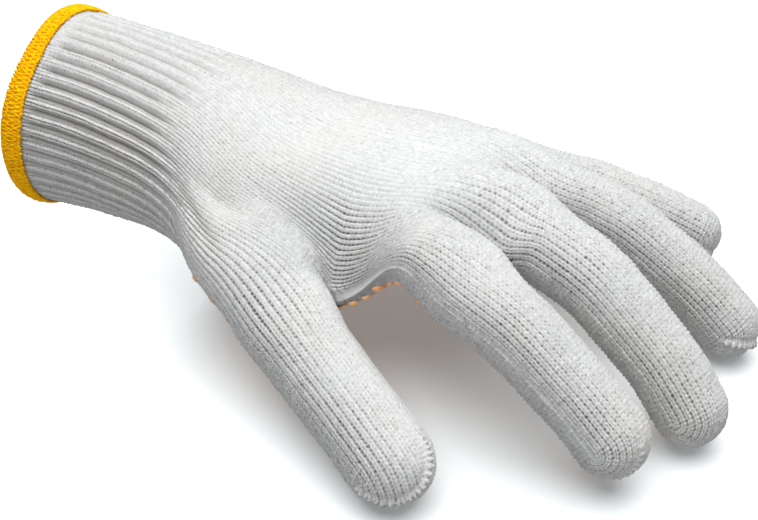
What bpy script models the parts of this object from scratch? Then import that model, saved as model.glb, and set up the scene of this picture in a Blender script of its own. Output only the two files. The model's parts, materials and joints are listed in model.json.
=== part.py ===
"""Cotton work glove for a left hand, keeping the form of the hand it is shown on.

Machine-knitted glove: four fingers run into a four-finger palm, the thumb joins
it in a five-finger palm, and a ribbed cuff with an overlocked edge ends it.
Metres. The origin is the centre of the cuff opening, +X runs to the fingertips,
+Y to the little finger's side, +Z to the back of the hand.
"""
import bpy
import bmesh
import numpy as np

for old in list(bpy.data.objects):
    bpy.data.objects.remove(old, do_unlink=True)

# ---------------------------------------------------------------- named sizes
PALM_LENGTH = 0.150     # cuff edge to the forks of the fingers
PALM_WIDTH = 0.088      # across the four-finger palm
PALM_DEPTH = 0.030      # back to palm, filled by a hand
CUFF_LENGTH = 0.060
EDGING_WIDTH = 0.0072
YARN_LAYER = 0.0008     # overlock yarn lying over the knit, each side
EDGE_TUCK = 0.0016      # the knit's cut edge lies this far inside the yarn
EDGE_SLANT = 0.0030     # the cuff's edge leans forward over the back of the wrist
FINGER_WIDTH = 0.022
THUMB_LENGTH = 0.096    # each length runs from the knuckle inside to the tip
INDEX_LENGTH = 0.086
MIDDLE_LENGTH = 0.097
RING_LENGTH = 0.090
LITTLE_LENGTH = 0.073
WALL = 0.0015
RIB_HEIGHT = 0.0010
GAP = 0.0003
RIBS = 42

COLUMNS = 6             # strips across one sheet of one finger

# the line of the hand: station (palm lengths), turn, drop and roll in degrees
ARM_LINE = (
    (0.00, 0, -4, 0),
    (0.20, 0, -1, 0),
    (0.40, 0, 0, 0),
    (0.73, 2, -2, -9),
    (1.00, 1, 4, -11),
)

# ovals: station (palm lengths), side (palm widths), height (palm depths),
# half width (palm widths), half depth (palm depths), squareness
FIVE_FINGER_OVALS = (
    (0.00,  0.000,  0.00, 0.298, 0.96, 2.0),
    (0.20,  0.000,  0.00, 0.310, 0.88, 2.0),
    (0.40, -0.025,  0.00, 0.365, 0.76, 2.1),
    (0.57, -0.095, -0.10, 0.500, 0.66, 2.2),
    (0.74, -0.110, -0.15, 0.550, 0.58, 2.2),
)
FOUR_FINGER_OVALS = (
    (0.40,  0.020, 0.00, 0.365, 0.62, 2.2),
    (0.60,  0.015, 0.02, 0.415, 0.54, 2.3),
    (0.77,  0.010, 0.06, 0.455, 0.47, 2.4),
    (1.00,  0.020, 0.15, 0.490, 0.42, 2.5),
)

# one row a finger: knuckle at station (palm lengths), side (palm widths), height
# (palm depths); spread, drop and twist at the knuckle; bend at the three joints;
# shares of the length between joints; half widths at the joints (finger widths);
# depth over width
FINGERS = {
    "thumb":  dict(knuckle=(0.475, -0.310, -0.27), aim=(-28, 11, 12), bend=(1, 3, 3),
                   length=THUMB_LENGTH, parts=(0.40, 0.33, 0.27), half=(0.71, 0.550, 0.510), flat=0.94),
    "index":  dict(knuckle=(0.810, -0.322, 0.13), aim=(-6, 10, 0), bend=(11, 13, 5),
                   length=INDEX_LENGTH, parts=(0.48, 0.28, 0.24), half=(0.515, 0.480, 0.460), flat=0.93),
    "middle": dict(knuckle=(0.838, -0.032, 0.33), aim=(-6, 5, 0), bend=(13, 19, 12),
                   length=MIDDLE_LENGTH, parts=(0.49, 0.28, 0.23), half=(0.520, 0.475, 0.455), flat=0.94),
    "ring":   dict(knuckle=(0.836, 0.230, 0.26), aim=(6, 4, 0), bend=(11, 17, 9),
                   length=RING_LENGTH, parts=(0.48, 0.28, 0.24), half=(0.450, 0.425, 0.420), flat=0.95),
    "little": dict(knuckle=(0.783, 0.425, 0.00), aim=(17, 6, 0), bend=(4, 6, 6),
                   length=LITTLE_LENGTH, parts=(0.47, 0.25, 0.28), half=(0.390, 0.370, 0.370), flat=0.95),
}
NAMES = ("thumb", "index", "middle", "ring", "little")
WALES = {"thumb": 13, "index": 13, "middle": 13, "ring": 13, "little": 11}

# stations of the forks (palm lengths): thumb, index-middle, middle-ring, ring-little
THUMB_FORK = 0.733
FORKS = (0.985, 0.985, 0.930)
FORK_REACH = 0.080      # palm lengths over which a finger's foot narrows
THUMB_REACH = 0.170
SPLAY = 0.190           # palm lengths over which the palm turns into finger shapes
WEB = 0.00175           # half thickness of the knit at a fork
SIDE_FOLD = 0.0009      # half thickness of the fold along a finger's side


# ---------------------------------------------------------------- small maths
def ease(t):
    t = np.clip(t, 0.0, 1.0)
    return t * t * (3 - 2 * t)


def curve(stations, values, at):
    """Smooth curve through a short table, flat beyond its ends."""
    x = np.asarray(stations, float)
    y = np.asarray(values, float)
    at = np.clip(np.asarray(at, float), x[0], x[-1])
    slope = np.gradient(y, x)
    i = np.clip(np.searchsorted(x, at, side="right") - 1, 0, len(x) - 2)
    h = x[i + 1] - x[i]
    t = (at - x[i]) / h
    return ((1 + 2 * t) * (1 - t) ** 2 * y[i] + t * (1 - t) ** 2 * h * slope[i]
            + t * t * (3 - 2 * t) * y[i + 1] + t * t * (t - 1) * h * slope[i + 1])


def turned(v, about, degrees):
    a = np.radians(degrees)
    return v * np.cos(a) + np.cross(about, v) * np.sin(a) + about * (v @ about) * (1 - np.cos(a))


def sampled(grid, table, at):
    return np.stack([np.interp(at, grid, table[:, i]) for i in range(table.shape[1])], -1)


def run_out(grid, directions):
    """Points reached by walking along the given directions."""
    step = np.diff(grid)[:, None]
    return np.vstack([np.zeros(3), np.cumsum((directions[1:] + directions[:-1]) / 2 * step, axis=0)])


# ---------------------------------------------------------------- line of the hand
def arm_line():
    table = np.array(ARM_LINE, float)
    grid = np.arange(-0.05, 1.16, 0.004)
    yaw, drop, roll = (np.radians(curve(table[:, 0], table[:, i], grid)) for i in (1, 2, 3))
    ahead = np.stack([np.cos(drop) * np.cos(yaw), np.cos(drop) * np.sin(yaw), -np.sin(drop)], -1)
    side = np.cross(np.array([0, 0, 1.0]), ahead)
    side /= np.linalg.norm(side, axis=1, keepdims=True)
    back = np.cross(ahead, side)
    roll = roll[:, None]
    side, back = side * np.cos(roll) + back * np.sin(roll), back * np.cos(roll) - side * np.sin(roll)
    centre = run_out(grid * PALM_LENGTH, ahead)
    centre -= sampled(grid, centre, 0.0)
    return grid, centre, ahead, side, back


LINE = arm_line()


def hand_frame(station):
    grid = LINE[0]
    return [sampled(grid, part, station) for part in LINE[1:]]


def finger_spine(name):
    row = FINGERS[name]
    station, across, height = row["knuckle"]
    centre, ahead, side, back = hand_frame(np.array(station))
    knuckle = centre + side * across * PALM_WIDTH + back * height * PALM_DEPTH
    spread, drop, twist = row["aim"]
    ahead, side = turned(ahead, back, spread), turned(side, back, spread)
    ahead, back = turned(ahead, side, drop), turned(back, side, drop)
    side, back = turned(side, ahead, twist), turned(back, ahead, twist)
    length = row["length"]
    grid = np.arange(-0.9 * length, 1.3 * length, 0.01 * length)
    phi = 0.0
    for bend, joint, width in zip(row["bend"], (0.0, row["parts"][0], row["parts"][0] + row["parts"][1]), (0.26, 0.20, 0.16)):
        phi = phi + np.radians(bend) * ease((grid / length - joint) / width + 0.5)
    phi = phi[:, None]
    heading = ahead * np.cos(phi) - back * np.sin(phi)
    up = back * np.cos(phi) + ahead * np.sin(phi)
    points = run_out(grid, heading)
    points += knuckle - sampled(grid, points, 0.0)
    return grid, points, heading, np.broadcast_to(side, points.shape), up


SPINES = {name: finger_spine(name) for name in NAMES}


def finger_frame(name, station):
    """Centre, heading, side, back, half width, half depth of a finger at a palm station."""
    row = FINGERS[name]
    s = (np.asarray(station, float) - row["knuckle"][0]) * PALM_LENGTH
    grid = SPINES[name][0]
    centre, ahead, side, back = (sampled(grid, part, s) for part in SPINES[name][1:])
    joints = np.array([0, row["parts"][0], row["parts"][0] + row["parts"][1]]) * row["length"]
    a = curve(joints, row["half"], s) * FINGER_WIDTH
    return centre, ahead, side, back, a, a * row["flat"]


# ---------------------------------------------------------------- the knitted surface
def oval(table, share, station, inset, fold):
    """Back and front points of a palm oval; share runs thumb side to little side."""
    t = np.array(table, float)
    side0, height, half, deep, square = (curve(t[:, 0], t[:, i], station) for i in range(1, 6))
    centre, _, side, back = hand_frame(station)
    angle = np.pi * share
    c, s, p = np.cos(angle), np.sin(angle), 2 / square
    across = side0 * PALM_WIDTH - (half * PALM_WIDTH - inset) * np.sign(c) * np.abs(c) ** p
    rise = np.sqrt(((deep * PALM_DEPTH - inset) * np.abs(s) ** p) ** 2 + fold ** 2)
    mid = centre + side * across[..., None] + back * (height * PALM_DEPTH)[..., None]
    return mid + back * rise[..., None], mid - back * rise[..., None], mid, back


def finger_fork(left, right, station):
    """Where the sides of two neighbouring fingers meet."""
    cl, _, sl, _, al, _ = finger_frame(left, station)
    cr, _, sr, _, ar, _ = finger_frame(right, station)
    return (cl + sl * al[..., None] + cr - sr * ar[..., None]) / 2


def thumb_fork(station):
    centre, _, side, _, a, _ = finger_frame("thumb", station)
    edge = oval(FOUR_FINGER_OVALS, np.zeros_like(station), station, 0.0, 0.0)[2]
    return 0.8 * (centre + side * a[..., None]) + 0.2 * edge


def held(station, fork, reach):
    return 1 - ease((station - fork) / reach)


def finger_ring(name, share, station, inset, side_insets, fold, cap=None):
    """Back and front points of one finger; cap is the angle over the tip's dome."""
    centre, ahead, side, back, a, b = finger_frame(name, station)
    low, high = centre - side * a[..., None], centre + side * a[..., None]
    i = NAMES.index(name)
    if name == "thumb":
        at = np.minimum(station, THUMB_FORK)
        c, _, s, _, w, _ = finger_frame(name, at)
        high = high + (thumb_fork(at) - c - s * w[..., None]) * held(station, THUMB_FORK, FORK_REACH)[..., None]
    else:
        if i > 1:
            at = np.minimum(station, FORKS[i - 2])
            c, _, s, _, w, _ = finger_frame(name, at)
            low = low + (finger_fork(NAMES[i - 1], name, at) - c + s * w[..., None]) * held(station, FORKS[i - 2], FORK_REACH)[..., None]
        if i < 4:
            at = np.minimum(station, FORKS[i - 1])
            c, _, s, _, w, _ = finger_frame(name, at)
            high = high + (finger_fork(name, NAMES[i + 1], at) - c - s * w[..., None]) * held(station, FORKS[i - 1], FORK_REACH)[..., None]
    along = (high - low) / np.linalg.norm(high - low, axis=-1, keepdims=True)
    low = low + along * side_insets[0]
    high = high - along * side_insets[1]
    mid, reach = (low + high) / 2, (high - low) / 2
    crown = np.sum((centre - mid) * back, -1)
    angle = np.pi * share
    c, s = np.cos(angle)[..., None], np.sin(angle)
    base = mid - reach * c + back * (crown * s * s)[..., None]
    deep = (b - inset) * s
    if cap is not None:
        base = base + ahead * ((a - inset) * s * np.sin(cap))[..., None]
        deep = deep * np.cos(cap)
    rise = np.sqrt(deep ** 2 + fold ** 2)[..., None]
    return base + back * rise, base - back * rise


def four_finger_sheet(i, share, station, fork, inset, side_insets, fold):
    """Four-finger palm over finger i (1 index .. 4 little)."""
    counts = [WALES[n] for n in NAMES[1:]]
    across = (sum(counts[:i - 1]) + share * counts[i - 1]) / sum(counts)
    ob, of, _, _ = oval(FOUR_FINGER_OVALS, across, station, inset, fold)
    at = np.minimum(station, THUMB_FORK)
    edge = oval(FOUR_FINGER_OVALS, np.zeros_like(station), at, 0.0, 0.0)[2]
    clear = hand_frame(at)[2] * (2 * GAP * (station > THUMB_FORK))[..., None]
    pull = (thumb_fork(at) + clear - edge) * (held(station, THUMB_FORK, THUMB_REACH) * (1 - ease(across / 0.42)))[..., None]
    ob, of = ob + pull, of + pull
    lb, lf = finger_ring(NAMES[i], share, station, inset, side_insets, fold)
    w = ease(1 - (fork - station) / SPLAY)[..., None]
    return ob * (1 - w) + lb * w, of * (1 - w) + lf * w


def fork_station(i, share):
    """Station where the palm ends over finger i."""
    if i == 0:
        return np.full_like(share, THUMB_FORK)
    low = FORKS[max(i - 2, 0)]
    high = FORKS[min(i - 1, 2)]
    return low + (high - low) * share


def five_finger_sheet(i, share, station, inset, side_insets, fold):
    counts = [WALES[n] for n in NAMES]
    across = (sum(counts[:i]) + share * counts[i]) / sum(counts)
    ob, of, _, _ = oval(FIVE_FINGER_OVALS, across, station, inset, fold)
    if i == 0:
        qb, qf = finger_ring("thumb", share, station, inset, side_insets, fold)
    else:
        qb, qf = four_finger_sheet(i, share, station, fork_station(i, share), inset, side_insets, fold)
    start = CUFF_LENGTH / PALM_LENGTH
    w = ease((station - start) / (THUMB_FORK - start))[..., None]
    return ob * (1 - w) + qb * w, of * (1 - w) + qf * w


# ---------------------------------------------------------------- meshes
class Knit:
    def __init__(self):
        self.points, self.faces = [], []

    def add(self, pts):
        first = sum(len(p) for p in self.points)
        self.points.append(np.asarray(pts, float))
        return list(range(first, first + len(pts)))

    def strip(self, one, two):
        for i in range(len(one) - 1):
            self.faces.append((one[i], one[i + 1], two[i + 1], two[i]))

    def object(self, name, colour, roughness):
        mesh = bpy.data.meshes.new(name)
        faces = [tuple(dict.fromkeys(f)) for f in self.faces]
        used = np.vstack(self.points)
        mesh.from_pydata([tuple(p) for p in used], [], [f for f in faces if len(f) > 2])
        bm = bmesh.new()
        bm.from_mesh(mesh)
        bmesh.ops.delete(bm, geom=[v for v in bm.verts if not v.link_faces], context="VERTS")
        bmesh.ops.triangulate(bm, faces=bm.faces[:])
        bmesh.ops.recalc_face_normals(bm, faces=bm.faces[:])
        if bm.calc_volume(signed=True) < 0:
            bmesh.ops.reverse_faces(bm, faces=bm.faces[:])
        bm.to_mesh(mesh)
        bm.free()
        thing = bpy.data.objects.new(name, mesh)
        bpy.context.scene.collection.objects.link(thing)
        material = bpy.data.materials.get(colour[0]) or bpy.data.materials.new(colour[0])
        material.use_nodes = True
        shader = material.node_tree.nodes["Principled BSDF"]
        shader.inputs["Base Color"].default_value = (*colour[1], 1.0)
        shader.inputs["Roughness"].default_value = roughness
        mesh.materials.append(material)
        return thing


COTTON = ("white_cotton_knit", (0.76, 0.76, 0.74))
YELLOW = ("yellow_overlock_yarn", (0.90, 0.48, 0.03))


def palm_rows(knit, sheet, stations, openings, end_insets):
    """Two-sheet palm with its distal edge split into openings.

    sheet(i, share, row, inset, side_insets, fold) gives back and front points,
    openings is a list of finger lists that share one opening.
    """
    fingers = [i for group in openings for i in group]
    share = np.linspace(0, 1, COLUMNS + 1)

    def row(at, inset, fold, group=None, insets=None):
        back, front = [], []
        chosen = fingers if group is None else group
        for k, i in enumerate(chosen):
            sides = [0.0, 0.0]
            if inset > 0 and k == 0:
                sides[0] = inset if group is None or insets is None else insets[0]
            if inset > 0 and k == len(chosen) - 1:
                sides[1] = inset if group is None or insets is None else insets[1]
            b, f = sheet(i, share, at, inset, sides, fold)
            cut = slice(None) if k == 0 else slice(1, None)
            back.append(b[cut])
            front.append(f[cut])
        return knit.add(np.vstack(back)), knit.add(np.vstack(front))

    outer = [row(at, 0.0, WEB) for at in stations]
    inner = [row(at, WALL, WEB - WALL) for at in stations[:-1]]
    for rows in (outer, inner):
        for (b0, f0), (b1, f1) in zip(rows, rows[1:]):
            knit.strip(b0, b1)
            knit.strip(f0, f1)
            for e in (0, -1):
                knit.faces.append((b0[e], f0[e], f1[e], b1[e]))
    (ob, of), (ib, jf) = outer[0], inner[0]
    knit.strip(ob, ib)
    knit.strip(of, jf)
    for e in (0, -1):
        knit.faces.append((ob[e], of[e], jf[e], ib[e]))
    ob, of = outer[-1]
    ib, jf = inner[-1]
    column = 0
    last = None
    for k, group in enumerate(openings):
        eb, ef = row(stations[-1], WALL, WEB - WALL, group, end_insets)
        a, b = column, column + len(group) * COLUMNS + 1
        knit.strip(ib[a:b], eb)
        knit.strip(jf[a:b], ef)
        knit.strip(ob[a:b], eb)
        knit.strip(of[a:b], ef)
        if k == 0:
            knit.faces.append((ib[0], jf[0], ef[0], eb[0]))
            knit.faces.append((ob[0], of[0], ef[0], eb[0]))
        if k == len(openings) - 1:
            knit.faces.append((ib[-1], jf[-1], ef[-1], eb[-1]))
            knit.faces.append((ob[-1], of[-1], ef[-1], eb[-1]))
        if last is not None:
            knit.faces.append((ob[a], eb[0], ef[0], of[a], last[1], last[0]))
            knit.faces.append((ib[a], eb[0], ef[0], jf[a], last[1], last[0]))
        last = (eb[-1], ef[-1])
        column = b - 1


def build_finger(name):
    i = NAMES.index(name)
    row = FINGERS[name]
    share = np.linspace(0, 1, COLUMNS + 1)
    tip = row["knuckle"][0] + (row["length"] - row["half"][2] * FINGER_WIDTH) / PALM_LENGTH
    foot = fork_station(i, share) + (3 * GAP if name == "thumb" else GAP) / PALM_LENGTH
    clear = 0.7 * GAP if name != "thumb" else GAP
    reach = FORK_REACH
    knit = Knit()
    sides = {}
    for inset in (0.0, WALL):
        fold0, fold1 = WEB - inset, (SIDE_FOLD if inset == 0.0 else SIDE_FOLD * 0.4)
        rows = []
        for part in (0, 0.05, 0.12, 0.2, 0.3, 0.4, 0.5, 0.6, 0.7, 0.8, 0.9, 1.0):
            station = foot + (tip - foot) * part
            fold = fold1 + (fold0 - fold1) * held(station, foot, reach)
            rows.append([knit.add(p) for p in finger_ring(name, share, station, inset, (inset + clear, inset + clear), fold)])
        for degrees in (25, 48, 70, 90):
            station = np.full_like(share, tip)
            b, f = finger_ring(name, share, station, inset, (inset + clear, inset + clear), fold1, np.radians(degrees))
            b, f = knit.add(b), knit.add(f)
            for e in (0, -1):
                b[e], f[e] = rows[0 - 1][0][e], rows[-1][1][e]
            rows.append([b, f])
        for (b0, f0), (b1, f1) in zip(rows, rows[1:]):
            knit.strip(b0, b1)
            knit.strip(f0, f1)
            for e in (0, -1):
                if b0[e] != b1[e]:
                    knit.faces.append((b0[e], f0[e], f1[e], b1[e]))
        knit.strip(*rows[-1])
        sides[inset] = rows[0]
    (ob, of), (ib, jf) = sides[0.0], sides[WALL]
    knit.strip(ob, ib)
    knit.strip(of, jf)
    for e in (0, -1):
        knit.faces.append((ob[e], of[e], jf[e], ib[e]))
    knit.object(name if name == "thumb" else name + "_finger", COTTON, 0.85)


def build_upper_palm():
    knit = Knit()
    start = THUMB_FORK + GAP / PALM_LENGTH

    def sheet(i, share, part, inset, sides, fold):
        fork = fork_station(i, share)
        return four_finger_sheet(i, share, start + (fork - start) * part, fork, inset, sides, fold)

    palm_rows(knit, sheet, (0, 0.16, 0.32, 0.48, 0.64, 0.78, 0.9, 1.0), [[1], [2], [3], [4]], (WALL, WALL))
    knit.object("upper_palm", COTTON, 0.85)


def build_lower_palm():
    knit = Knit()
    start = CUFF_LENGTH / PALM_LENGTH + GAP / PALM_LENGTH

    def sheet(i, share, part, inset, sides, fold):
        station = np.full_like(share, start + (THUMB_FORK - start) * part)
        return five_finger_sheet(i, share, station, inset, sides, fold)

    palm_rows(knit, sheet, (0, 0.15, 0.3, 0.45, 0.6, 0.75, 0.9, 1.0), [[0], [1, 2, 3, 4]], (WALL, WALL))
    knit.object("lower_palm", COTTON, 0.85)


def cuff_point(turn, station, out):
    """Point on the cuff: turn 0..1 round it from the thumb side over the back."""
    t = np.array(FIVE_FINGER_OVALS, float)
    slant = EDGE_SLANT * np.sin(2 * np.pi * turn) * (1 - station * PALM_LENGTH / CUFF_LENGTH)
    station = station + slant / PALM_LENGTH
    side0, height, half, deep, square = (curve(t[:, 0], t[:, i], station) for i in range(1, 6))
    centre, _, side, back = hand_frame(station)
    c, s, p = np.cos(2 * np.pi * turn), np.sin(2 * np.pi * turn), 2 / square
    across = side0 * PALM_WIDTH - (half * PALM_WIDTH + out) * np.sign(c) * np.abs(c) ** p
    rise = (deep * PALM_DEPTH + out) * np.sign(s) * np.abs(s) ** p
    return centre + side * across[..., None] + back * (height * PALM_DEPTH + rise)[..., None]


def loops(knit, rings, closed=False):
    pairs = list(zip(rings, rings[1:])) + ([(rings[-1], rings[0])] if closed else [])
    for one, two in pairs:
        knit.strip(one + [one[0]], two + [two[0]])


def build_cuff():
    knit = Knit()
    turn = np.arange(3 * RIBS) / (3 * RIBS)
    wave = np.where(np.arange(3 * RIBS) % 3 == 0, -1.0, 0.5)
    shells = []
    for out in (0.0, -WALL):
        rings = []
        free = CUFF_LENGTH - EDGING_WIDTH
        for x, rise in ((EDGE_TUCK, 0.0), (EDGING_WIDTH + GAP, 0.0), (EDGING_WIDTH + 0.06 * free, 1.0),
                        (EDGING_WIDTH + 0.45 * free, 1.0), (EDGING_WIDTH + 0.85 * free, 0.6), (CUFF_LENGTH, 0.2)):
            station = np.full_like(turn, x / PALM_LENGTH)
            rings.append(knit.add(cuff_point(turn, station, out + (wave - 0.5) * rise * RIB_HEIGHT / 1.5)))
        loops(knit, rings)
        shells.append(rings)
    loops(knit, [shells[0][0], shells[1][0]])
    loops(knit, [shells[0][-1], shells[1][-1]])
    knit.object("rib_cuff", COTTON, 0.85)


def build_edging():
    """Overlocked edge: a rounded channel of yarn wrapped over the cuff's cut edge."""
    knit = Knit()
    turn = np.arange(42) / 42
    w = EDGING_WIDTH
    inner, outer, yarn = -WALL - GAP, GAP, YARN_LAYER
    profile = ((w, outer), (w, outer + 0.9 * yarn), (0.3 * w, outer + yarn), (0, 0.3 * yarn), (0, -WALL - 0.3 * yarn),
               (0.3 * w, inner - yarn), (w, inner - 0.9 * yarn), (w, inner), (EDGE_TUCK - GAP, inner), (EDGE_TUCK - GAP, outer))
    rings = []
    for x, out in profile:
        station = np.full_like(turn, x / PALM_LENGTH)
        rings.append(knit.add(cuff_point(turn, station, out)))
    loops(knit, rings, closed=True)
    knit.object("cuff_edging", YELLOW, 0.8)


for finger in NAMES:
    build_finger(finger)
build_upper_palm()
build_lower_palm()
build_cuff()
build_edging()
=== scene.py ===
"""Looks of a white machine-knit cotton work glove for the left hand.

The knit is real relief: each outer piece of it is a grid with four points across
each column of stitches (a wale) and three along each row of stitches (a course).
"""

import json
import math

import bpy
import numpy as np
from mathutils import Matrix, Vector

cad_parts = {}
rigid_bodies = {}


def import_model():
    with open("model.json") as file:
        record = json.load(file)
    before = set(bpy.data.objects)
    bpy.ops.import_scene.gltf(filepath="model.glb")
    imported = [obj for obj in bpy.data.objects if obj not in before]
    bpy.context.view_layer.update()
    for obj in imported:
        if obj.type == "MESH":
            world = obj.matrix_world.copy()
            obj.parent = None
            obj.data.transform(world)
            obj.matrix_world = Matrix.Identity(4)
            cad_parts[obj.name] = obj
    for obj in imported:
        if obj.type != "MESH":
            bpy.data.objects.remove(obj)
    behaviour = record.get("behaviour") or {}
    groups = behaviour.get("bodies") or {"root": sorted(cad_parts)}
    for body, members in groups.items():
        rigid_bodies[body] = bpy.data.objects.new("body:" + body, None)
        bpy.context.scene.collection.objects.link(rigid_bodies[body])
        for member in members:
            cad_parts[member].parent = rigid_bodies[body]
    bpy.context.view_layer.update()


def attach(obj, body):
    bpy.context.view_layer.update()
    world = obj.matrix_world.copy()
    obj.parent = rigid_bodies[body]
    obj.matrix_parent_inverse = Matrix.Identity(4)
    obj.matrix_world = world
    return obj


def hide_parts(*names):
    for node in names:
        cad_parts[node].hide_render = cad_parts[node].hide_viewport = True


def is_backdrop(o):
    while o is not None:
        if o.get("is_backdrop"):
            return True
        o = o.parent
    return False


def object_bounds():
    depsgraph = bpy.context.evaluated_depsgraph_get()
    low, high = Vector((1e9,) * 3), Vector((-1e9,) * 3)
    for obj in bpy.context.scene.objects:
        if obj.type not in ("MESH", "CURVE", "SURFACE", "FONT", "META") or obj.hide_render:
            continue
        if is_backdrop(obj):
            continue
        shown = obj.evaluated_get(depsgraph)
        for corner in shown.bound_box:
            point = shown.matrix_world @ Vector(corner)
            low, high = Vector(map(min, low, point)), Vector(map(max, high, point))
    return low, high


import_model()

# sizes in metres
PALM_LENGTH = 0.150
PALM_WIDTH = 0.088
PALM_DEPTH = 0.030
CUFF_LENGTH = 0.060
EDGING_WIDTH = 0.0072
EDGE_SLANT = 0.0030
EDGE_DRAW_IN = 0.0013
FINGER_WIDTH = 0.022
WALL = 0.0015
COURSE = 0.0012         # one row of stitches, along the hand

ARM_LINE = (
    (0.00, 0, -4, 0),
    (0.20, 0, -1, 0),
    (0.40, 0, 0, 0),
    (0.73, 2, -2, -9),
    (1.00, 1, 4, -11),
)
# station, side, height, half width, half depth, squareness
FIVE_FINGER_OVALS = (
    (0.00,  0.000,  0.00, 0.298, 0.96, 2.0),
    (0.20,  0.000,  0.00, 0.310, 0.88, 2.0),
    (0.40, -0.025,  0.00, 0.365, 0.76, 2.1),
    (0.57, -0.095, -0.10, 0.500, 0.66, 2.2),
    (0.74, -0.110, -0.15, 0.550, 0.58, 2.2),
)
FOUR_FINGER_OVALS = (
    (0.40,  0.020, 0.00, 0.365, 0.62, 2.2),
    (0.60,  0.015, 0.02, 0.415, 0.54, 2.3),
    (0.77,  0.010, 0.06, 0.455, 0.47, 2.4),
    (1.00,  0.020, 0.15, 0.490, 0.42, 2.5),
)
# knuckle: station along the palm, place across its width and through its depth.
# aim: spread, drop and twist in degrees. bend: degrees at the three joints.
# parts: shares of the length. half: half widths at the joints, as shares of a finger's width.
# flat: depth over width. seam: the way the tip's seam faces (side, back, ahead) and how far out it lies.
FINGERS = {
    "thumb": dict(
        knuckle=(0.475, -0.310, -0.27), aim=(-28, 11, 12), bend=(1, 3, 3), length=0.096,
        parts=(0.40, 0.33, 0.27), half=(0.71, 0.550, 0.510), flat=0.94, seam=(-0.32, 0.90, 0.30, 0.41)),
    "index": dict(
        knuckle=(0.810, -0.322, 0.13), aim=(-6, 10, 0), bend=(11, 13, 5), length=0.086,
        parts=(0.48, 0.28, 0.24), half=(0.515, 0.480, 0.460), flat=0.93, seam=(0.97, -0.20, 0.00, -0.33)),
    "middle": dict(
        knuckle=(0.838, -0.032, 0.33), aim=(-6, 5, 0), bend=(13, 19, 12), length=0.097,
        parts=(0.49, 0.28, 0.23), half=(0.520, 0.475, 0.455), flat=0.94, seam=(0.12, 0.99, 0.00, -0.20)),
    "ring": dict(
        knuckle=(0.836, 0.230, 0.26), aim=(6, 4, 0), bend=(11, 17, 9), length=0.090,
        parts=(0.48, 0.28, 0.24), half=(0.450, 0.425, 0.420), flat=0.95, seam=(0.22, 0.78, -0.58, -0.35)),
    "little": dict(
        knuckle=(0.783, 0.425, 0.00), aim=(17, 6, 0), bend=(4, 6, 6), length=0.073,
        parts=(0.47, 0.25, 0.28), half=(0.390, 0.370, 0.370), flat=0.95, seam=(0.05, 0.95, 0.30, -0.10)),
}
NAMES = ("thumb", "index", "middle", "ring", "little")
ALL = (0, 1, 2, 3, 4)
WALES = (17, 18, 17, 17, 15)   # on one sheet of the glove
RIB_WALES = 4                  # twice the sum of WALES makes 42 ribs of four
JOINT_WIDTHS = (0.26, 0.20, 0.16)
THUMB_FORK = 0.733
FORKS = (0.985, 0.985, 0.930)
FORK_REACH = 0.080
THUMB_REACH = 0.170
SPLAY = 0.190
WEB = 0.0012
ACROSS_WALE = (0.02, 0.27, 0.50, 0.73)
ONCE_A_WALE = (0.5,)
ROWS_PER_COURSE = 3
DOME_STEPS = 44
INSIDE_DOME_STEPS = 16

# relief in metres
SUNK_BY = 0.00035        # the relief's zero lies this far under the form, so that the stitches' tops meet it
ROPE = 0.00030           # round top of a wale
LEG = 0.00036            # the two legs of a loop
LEG_PARTED = 0.00020     # how much higher they stand where the knit is stretched
SPLIT = 0.00038          # line between the legs
GAP = 0.00030            # groove between two wales
HOLE = 0.00040           # holes in that groove
RIB_SWELL = 0.00030
RIB_GROOVE = 0.00115
ROOT_HOLLOW = 0.0015     # beside the thumb's root
ROOT_SWELL = 0.0002
FORK_STRAIN = 0.0006     # at the thumb's fork
FORK_KNOT = 0.0011
UNEVEN = 0.00016
SEAM_LINE = 0.00030      # gathered stitches at a fingertip
SEAM_FOLD = 0.00085
SEAM_BESIDE = 0.00040
SEAM_REACH = (1.9, 1.15, 1.25, 1.9, 1.9)     # radians to each side, for each finger
SEAM_HEIGHT = (1.0, 0.55, 0.60, 1.0, 0.9)


# small maths
def ease(t):
    t = np.clip(t, 0.0, 1.0)
    return t * t * (3 - 2 * t)


def curve(stations, values, at):
    x, y = np.asarray(stations, float), np.asarray(values, float)
    at = np.clip(np.asarray(at, float), x[0], x[-1])
    slope = np.gradient(y, x)
    i = np.clip(np.searchsorted(x, at, side="right") - 1, 0, len(x) - 2)
    h = x[i + 1] - x[i]
    t = (at - x[i]) / h
    return ((1 + 2 * t) * (1 - t) ** 2 * y[i] + t * (1 - t) ** 2 * h * slope[i]
            + t * t * (3 - 2 * t) * y[i + 1] + t * t * (t - 1) * h * slope[i + 1])


def turned(v, about, degrees):
    a = np.radians(degrees)
    return v * np.cos(a) + np.cross(about, v) * np.sin(a) + about * (v @ about) * (1 - np.cos(a))


def sampled(grid, table, at):
    return np.stack([np.interp(at, grid, table[:, i]) for i in range(table.shape[1])], -1)


def run_out(grid, directions):
    step = np.diff(grid)[:, None]
    return np.vstack([np.zeros(3), np.cumsum((directions[1:] + directions[:-1]) / 2 * step, axis=0)])


def unit(v):
    return v / np.maximum(np.linalg.norm(v, axis=-1, keepdims=True), 1e-12)


def bell(x, width):
    return np.exp(-(x / width) ** 2)


def along_hand(station):
    """Millimetres from the cuff's edge."""
    return station * PALM_LENGTH * 1000


def over_sheet(i, share):
    """Share of the way over the whole glove's sheet, from the share over finger i's strip of it."""
    return (sum(WALES[:i]) + share * WALES[i]) / sum(WALES)


def scatter(*numbers):
    """Repeatable noise from 0 to 1 for whole numbers, such as a stitch's column and row."""
    total = sum(np.asarray(n, float) * k for n, k in zip(numbers, (12.9898, 78.233, 37.719)))
    return np.mod(np.sin(total) * 43758.5453, 1.0)


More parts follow.
